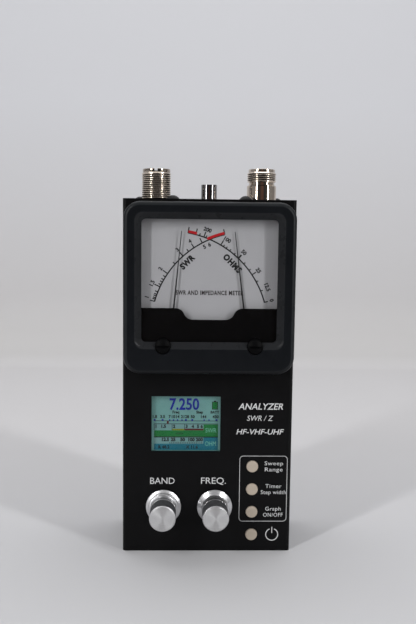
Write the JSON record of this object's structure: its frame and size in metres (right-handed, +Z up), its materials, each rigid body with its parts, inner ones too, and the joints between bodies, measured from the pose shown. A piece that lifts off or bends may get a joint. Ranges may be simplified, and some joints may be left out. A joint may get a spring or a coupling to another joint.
{
  "type": "antenna analyzer",
  "caption": "Hand-held antenna analyzer in a black steel box with a cross-needle meter, colour display, knobs, push buttons and coaxial sockets on top.",
  "frame": {"origin": "centre of the case's flat bottom face, on which the instrument stands", "axes": "+Z up, the front panel faces -Y, +X to the viewer's right"},
  "size_m": [0.0904, 0.0647, 0.2067],
  "materials": {
    "case_paint": "fine-textured black powder coat",
    "black_screw": "black zinc",
    "bezel_plastic": "fine-grained black moulding",
    "clear_window": "clear acrylic",
    "mask_black": "black",
    "dial_card": "matt light grey",
    "dark_plastic": "moulded",
    "magnet": "cast magnet alloy",
    "needle_black": "black lacquer",
    "copper_coil": "enamelled winding",
    "bridge_brass": "plain",
    "adjuster_black": "semi-gloss",
    "lcd_glass": "lit colour display",
    "board_green": "solder-masked laminate",
    "component_black": "moulded packages",
    "zinc_steel": "zinc plated",
    "button_beige": "warm beige",
    "knob_aluminium": "turned",
    "grip_black": "knurled",
    "nickel": "bright nickel plate",
    "white_insulator": "PTFE",
    "gold_contact": "gold plated",
    "bright_chrome": "polished",
    "cell_jacket": "printed steel can",
    "ribbon_grey": "flat cable"
  },
  "bodies": {
    "case": {"front_cover": "case_paint", "rear_cover": "case_paint", "battery_hatch": "case_paint", "flat_screws": "black_screw", "flange_screws": "black_screw", "meter_bezel": "bezel_plastic", "meter_window": "clear_window", "lcd_window": "clear_window", "meter_mask": "mask_black", "meter_dial": "dial_card", "meter_housing": "dark_plastic", "battery_holder": "dark_plastic", "tact_switches": "dark_plastic", "select_switch": "dark_plastic", "band_encoder": "dark_plastic", "freq_encoder": "dark_plastic", "movement_yokes": "magnet", "movement_cores": "magnet", "needle_bridges": "bridge_brass", "lcd_panel": "lcd_glass", "lcd_board": "board_green", "main_board": "board_green", "rf_board": "board_green", "board_parts": "component_black", "board_screws": "zinc_steel", "board_standoffs": "zinc_steel", "rf_standoffs": "zinc_steel", "rf_shield": "zinc_steel", "meter_nuts": "zinc_steel", "flange_nuts": "zinc_steel", "encoder_washers": "zinc_steel", "encoder_nuts": "zinc_steel", "battery_contacts": "zinc_steel", "so239_shell": "nickel", "n_shell": "nickel", "so239_insulator": "white_insulator", "n_insulator": "white_insulator", "so239_contact": "gold_contact", "n_contact": "gold_contact", "battery_cells": "cell_jacket", "ribbon_cable": "ribbon_grey"},
    "band_dial": {"band_knob": "knob_aluminium", "band_grip": "grip_black", "band_set_screw": "zinc_steel", "band_shaft": "zinc_steel"},
    "freq_dial": {"freq_knob": "knob_aluminium", "freq_grip": "grip_black", "freq_set_screw": "zinc_steel", "freq_shaft": "zinc_steel"},
    "swr_pointer": {"swr_needle": "needle_black", "swr_coil": "copper_coil"},
    "ohms_pointer": {"ohms_needle": "needle_black", "ohms_coil": "copper_coil"},
    "swr_zero": {"swr_adjuster": "adjuster_black"},
    "ohms_zero": {"ohms_adjuster": "adjuster_black"},
    "sweep_key": {"sweep_button": "button_beige"},
    "width_key": {"width_button": "button_beige"},
    "graph_key": {"graph_button": "button_beige"},
    "power_key": {"power_button": "button_beige"},
    "selector": {"select_button": "bright_chrome"}
  },
  "joints": [
    {"name": "band_turn", "type": "hinge", "parent": "case", "child": "band_dial", "pos_m": [-0.0233, -0.023, 0.0249], "axis": [0, 1, 0], "continuous": true},
    {"name": "freq_turn", "type": "hinge", "parent": "case", "child": "freq_dial", "pos_m": [0.0042, -0.023, 0.0249], "axis": [0, 1, 0], "continuous": true},
    {"name": "swr_swing", "type": "hinge", "parent": "case", "child": "swr_pointer", "pos_m": [0.0195, -0.023, 0.122], "axis": [0, -1, 0], "range_deg": [0, 68.5]},
    {"name": "ohms_swing", "type": "hinge", "parent": "case", "child": "ohms_pointer", "pos_m": [-0.0195, -0.023, 0.122], "axis": [0, 1, 0], "range_deg": [0, 68.5]},
    {"name": "swr_zero_turn", "type": "hinge", "parent": "case", "child": "swr_zero", "pos_m": [0.0239, -0.0284, 0.11295], "axis": [0, 1, 0], "range_deg": [-90, 90]},
    {"name": "ohms_zero_turn", "type": "hinge", "parent": "case", "child": "ohms_zero", "pos_m": [-0.0239, -0.0284, 0.11295], "axis": [0, 1, 0], "range_deg": [-90, 90]},
    {"name": "power_press", "type": "slide", "parent": "case", "child": "power_key", "axis": [0, 1, 0], "range_m": [0, 0.0005], "stiffness_N_per_m": 3000},
    {"name": "graph_press", "type": "slide", "parent": "case", "child": "graph_key", "axis": [0, 1, 0], "range_m": [0, 0.0005], "stiffness_N_per_m": 3000},
    {"name": "width_press", "type": "slide", "parent": "case", "child": "width_key", "axis": [0, 1, 0], "range_m": [0, 0.0005], "stiffness_N_per_m": 3000},
    {"name": "sweep_press", "type": "slide", "parent": "case", "child": "sweep_key", "axis": [0, 1, 0], "range_m": [0, 0.0005], "stiffness_N_per_m": 3000},
    {"name": "selector_press", "type": "slide", "parent": "case", "child": "selector", "axis": [0, 0, -1], "range_m": [0, 0.003], "stiffness_N_per_m": 900}
  ]
}
